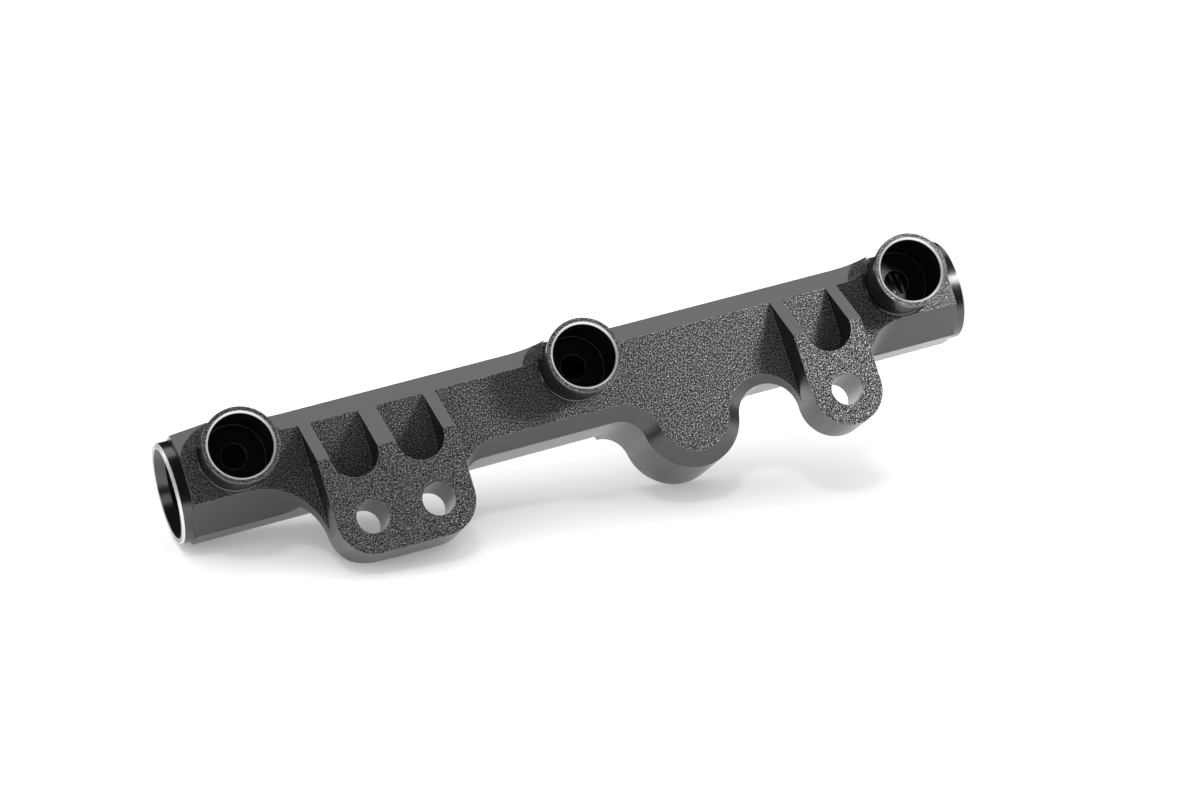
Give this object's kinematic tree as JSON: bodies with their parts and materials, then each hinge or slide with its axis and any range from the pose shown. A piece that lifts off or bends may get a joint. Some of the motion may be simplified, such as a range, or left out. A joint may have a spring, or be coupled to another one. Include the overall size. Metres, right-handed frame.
{
  "type": "fuel rail",
  "caption": "Machined aluminium fuel rail: a bevelled bar with a through passage, threaded end ports, injector cups and bolting lugs.",
  "frame": {"origin": "on the middle injector cup's axis, at the level of the bar's front face", "axes": "+X along the rail from the end with the double lug to the other end, +Y towards the side of the bar opposite the lugs, +Z along the injector cups, out of their mouths"},
  "size_m": [0.1791, 0.0382, 0.032],
  "materials": {
    "anodised": "black anodised, satin machined faces and bead-blasted front faces"
  },
  "bodies": {
    "root": {"rail_body": "anodised"}
  },
  "joints": []
}
